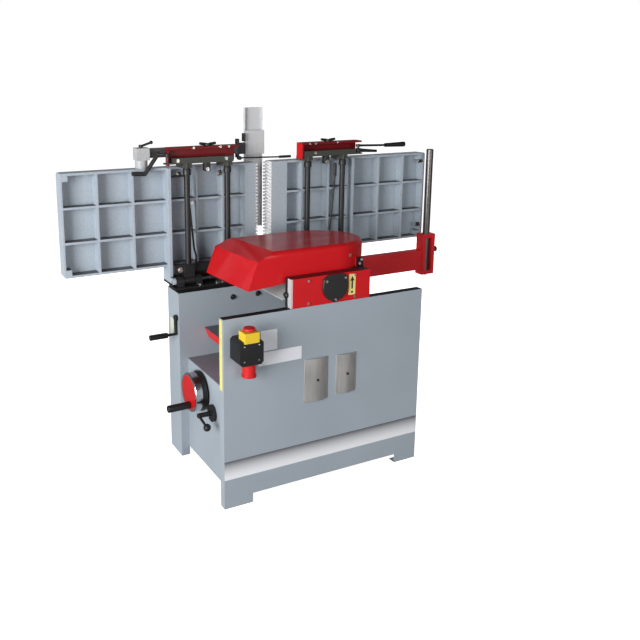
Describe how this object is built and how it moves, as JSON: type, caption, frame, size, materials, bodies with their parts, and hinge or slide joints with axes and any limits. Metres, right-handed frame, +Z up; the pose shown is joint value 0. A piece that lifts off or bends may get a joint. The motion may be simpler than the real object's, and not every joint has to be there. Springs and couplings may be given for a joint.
{
  "type": "jointer planer",
  "caption": "Floor-standing surface planer and thicknesser with tables swung up behind the cutterhead, a chip hood laid over it and a thicknessing table below.",
  "frame": {"origin": "on the floor, below the middle of the object's box", "axes": "+X along the feed towards the infeed end, +Y away from the operator, +Z up"},
  "size_m": [1.8644, 0.768, 1.473],
  "materials": {
    "cabinet": "satin powder coat",
    "casting": "painted casting",
    "machined": "ground",
    "dark_steel": "blackened",
    "red_paint": "gloss",
    "red_casting": "painted sides, ground top",
    "stainless": "brushed",
    "silver": "satin",
    "black_plastic": "matte",
    "yellow_plastic": "gloss",
    "red_plastic": "gloss",
    "belt_rubber": "matte"
  },
  "bodies": {
    "base": {"front_panel": "cabinet", "rear_column": "cabinet", "left_side_panel": "cabinet", "right_side_panel": "cabinet", "deck_plate": "cabinet", "floor_plate": "cabinet", "hanger_plates": "stainless", "screws": "dark_steel", "front_cheek": "machined", "rear_cheek": "machined", "cheek_cover": "red_paint", "bearing_cap": "black_plastic", "head_bearings": "machined", "chip_deflector": "machined", "kickback_shaft": "machined", "hood_rod": "machined", "drive_motor": "casting", "drive_belt": "belt_rubber", "drive_cover": "dark_steel", "lift_sleeve": "casting", "left_pedestal": "dark_steel", "right_pedestal": "dark_steel", "hinge_pins": "machined", "switch_box": "black_plastic", "switch_housing": "yellow_plastic", "power_inlet": "red_plastic"},
    "cutter": {"cutterhead": "machined", "knives": "machined"},
    "motor_pulley": {"motor_pulley": "machined"},
    "infeed_roller": {"infeed_roller": "machined"},
    "outfeed_roller": {"outfeed_roller": "machined"},
    "kickback_fingers": {"kickback_fingers": "machined"},
    "hood": {"hood_shell": "red_paint"},
    "lift_table": {"thickness_table": "red_casting", "lift_piston": "machined"},
    "lift_screw": {"lift_screw": "machined"},
    "handwheel": {"handwheel": "silver"},
    "handwheel_grip": {"handwheel_grip": "black_plastic"},
    "lock_lever": {"lock_lever": "black_plastic"},
    "feed_lever": {"feed_lever": "black_plastic"},
    "outfeed_table": {"outfeed_table": "casting", "outfeed_carrier": "dark_steel", "outfeed_cover": "red_paint", "guard_arm": "silver"},
    "outfeed_wing_knob": {"outfeed_wing_knob": "black_plastic"},
    "bent_lever": {"bent_lever": "black_plastic"},
    "post_lever": {"post_lever": "black_plastic"},
    "guard": {"guard": "silver"},
    "guard_lever": {"guard_lever": "black_plastic"},
    "infeed_table": {"infeed_table": "casting", "infeed_carrier": "dark_steel", "infeed_cover": "red_paint", "fence_arm": "red_paint"},
    "infeed_wing_knob": {"infeed_wing_knob": "black_plastic"},
    "adjust_lever": {"adjust_lever": "black_plastic"},
    "clamp_lever": {"clamp_lever": "black_plastic"},
    "fence_bar": {"fence_bar": "machined"},
    "fence_knob": {"fence_knob": "black_plastic"},
    "stop_button": {"stop_button": "red_plastic"}
  },
  "joints": [
    {"name": "cutter_spin", "type": "hinge", "parent": "base", "child": "cutter", "pos_m": [-0.03215, 0.008, 0.82], "axis": [0, 1, 0], "continuous": true},
    {"name": "motor_spin", "type": "hinge", "parent": "base", "child": "motor_pulley", "pos_m": [0.17785, 0.008, 0.18], "axis": [0, 1, 0], "continuous": true},
    {"name": "infeed_roller_spin", "type": "hinge", "parent": "base", "child": "infeed_roller", "pos_m": [0.03785, 0.008, 0.789], "axis": [0, 1, 0], "continuous": true},
    {"name": "outfeed_roller_spin", "type": "hinge", "parent": "base", "child": "outfeed_roller", "pos_m": [-0.10215, 0.008, 0.789], "axis": [0, 1, 0], "continuous": true},
    {"name": "finger_swing", "type": "hinge", "parent": "base", "child": "kickback_fingers", "pos_m": [0.09985, 0.008, 0.806], "axis": [0, 1, 0], "range_deg": [0, 35]},
    {"name": "hood_hinge", "type": "hinge", "parent": "base", "child": "hood", "pos_m": [0.11785, 0.008, 0.852], "axis": [0, 1, 0], "range_deg": [0, 95]},
    {"name": "handwheel_turn", "type": "hinge", "parent": "base", "child": "handwheel", "pos_m": [-0.48215, 0.022, 0.356], "axis": [1, 0, 0], "range_deg": [-14112, 2016]},
    {"name": "table_lift", "type": "slide", "parent": "base", "child": "lift_table", "axis": [0, 0, 1], "range_m": [-0.0281, 0.1961]},
    {"name": "screw_turn", "type": "hinge", "parent": "base", "child": "lift_screw", "pos_m": [-0.03215, -0.04, 0.25], "axis": [0, 0, 1], "range_deg": [-14113, 2017]},
    {"name": "grip_spin", "type": "hinge", "parent": "handwheel", "child": "handwheel_grip", "pos_m": [-0.56215, 0.008, 0.308], "axis": [1, 0, 0], "continuous": true},
    {"name": "lock_turn", "type": "hinge", "parent": "base", "child": "lock_lever", "pos_m": [-0.48215, -0.092, 0.303], "axis": [1, 0, 0], "range_deg": [-30, 30]},
    {"name": "feed_shift", "type": "hinge", "parent": "base", "child": "feed_lever", "pos_m": [-0.50215, 0.192, 0.619], "axis": [1, 0, 0], "range_deg": [-25, 25]},
    {"name": "outfeed_table_swing", "type": "hinge", "parent": "base", "child": "outfeed_table", "pos_m": [-0.33215, 0.253, 0.758], "axis": [-1, 0, 0], "range_deg": [-24, 0]},
    {"name": "infeed_table_swing", "type": "hinge", "parent": "base", "child": "infeed_table", "pos_m": [0.26785, 0.253, 0.758], "axis": [-1, 0, 0], "range_deg": [-24, 0]},
    {"name": "outfeed_knob_turn", "type": "hinge", "parent": "outfeed_table", "child": "outfeed_wing_knob", "pos_m": [-0.31215, 0.278, 1.32], "axis": [0, 0, 1], "range_deg": [-180, 180]},
    {"name": "bent_lever_swing", "type": "hinge", "parent": "outfeed_table", "child": "bent_lever", "pos_m": [-0.50015, 0.257, 1.29], "axis": [0, 0, 1], "range_deg": [0, 25]},
    {"name": "post_lever_turn", "type": "hinge", "parent": "outfeed_table", "child": "post_lever", "pos_m": [-0.58615, 0.335, 1.33], "axis": [0, 0, 1], "range_deg": [-60, 60]},
    {"name": "guard_slide", "type": "slide", "parent": "outfeed_table", "child": "guard", "axis": [0, 0, 1], "range_m": [-0.12, 0.06]},
    {"name": "guard_lever_lift", "type": "hinge", "parent": "outfeed_table", "child": "guard_lever", "pos_m": [-0.13565, 0.338, 1.257], "axis": [0, 1, 0], "range_deg": [-30, 0]},
    {"name": "infeed_knob_turn", "type": "hinge", "parent": "infeed_table", "child": "infeed_wing_knob", "pos_m": [0.28385, 0.278, 1.32], "axis": [0, 0, 1], "range_deg": [-180, 180]},
    {"name": "adjust_lever_swing", "type": "hinge", "parent": "infeed_table", "child": "adjust_lever", "pos_m": [0.43585, 0.257, 1.29], "axis": [0, 0, 1], "range_deg": [-15, 25]},
    {"name": "clamp_lever_swing", "type": "hinge", "parent": "infeed_table", "child": "clamp_lever", "pos_m": [0.43585, 0.257, 1.27], "axis": [0, 0, 1], "range_deg": [-25, 15]},
    {"name": "fence_bar_slide", "type": "slide", "parent": "infeed_table", "child": "fence_bar", "axis": [0, 0, 1], "range_m": [-0.04, 0.16]},
    {"name": "fence_knob_turn", "type": "hinge", "parent": "infeed_table", "child": "fence_knob", "pos_m": [0.91785, 0.268, 0.75], "axis": [1, 0, 0], "range_deg": [-180, 180]},
    {"name": "stop_button_press", "type": "slide", "parent": "base", "child": "stop_button", "axis": [0, 0, -1], "range_m": [0, 0.004], "stiffness_N_per_m": 900, "springref_m": -0.001}
  ],
  "couplings": [
    {"joint": "motor_spin", "follows": "cutter_spin", "ratio": 0.6},
    {"joint": "outfeed_roller_spin", "follows": "infeed_roller_spin", "ratio": 1},
    {"joint": "table_lift", "follows": "handwheel_turn", "m_per_rad": -0.00079577},
    {"joint": "screw_turn", "follows": "handwheel_turn", "ratio": 1}
  ]
}
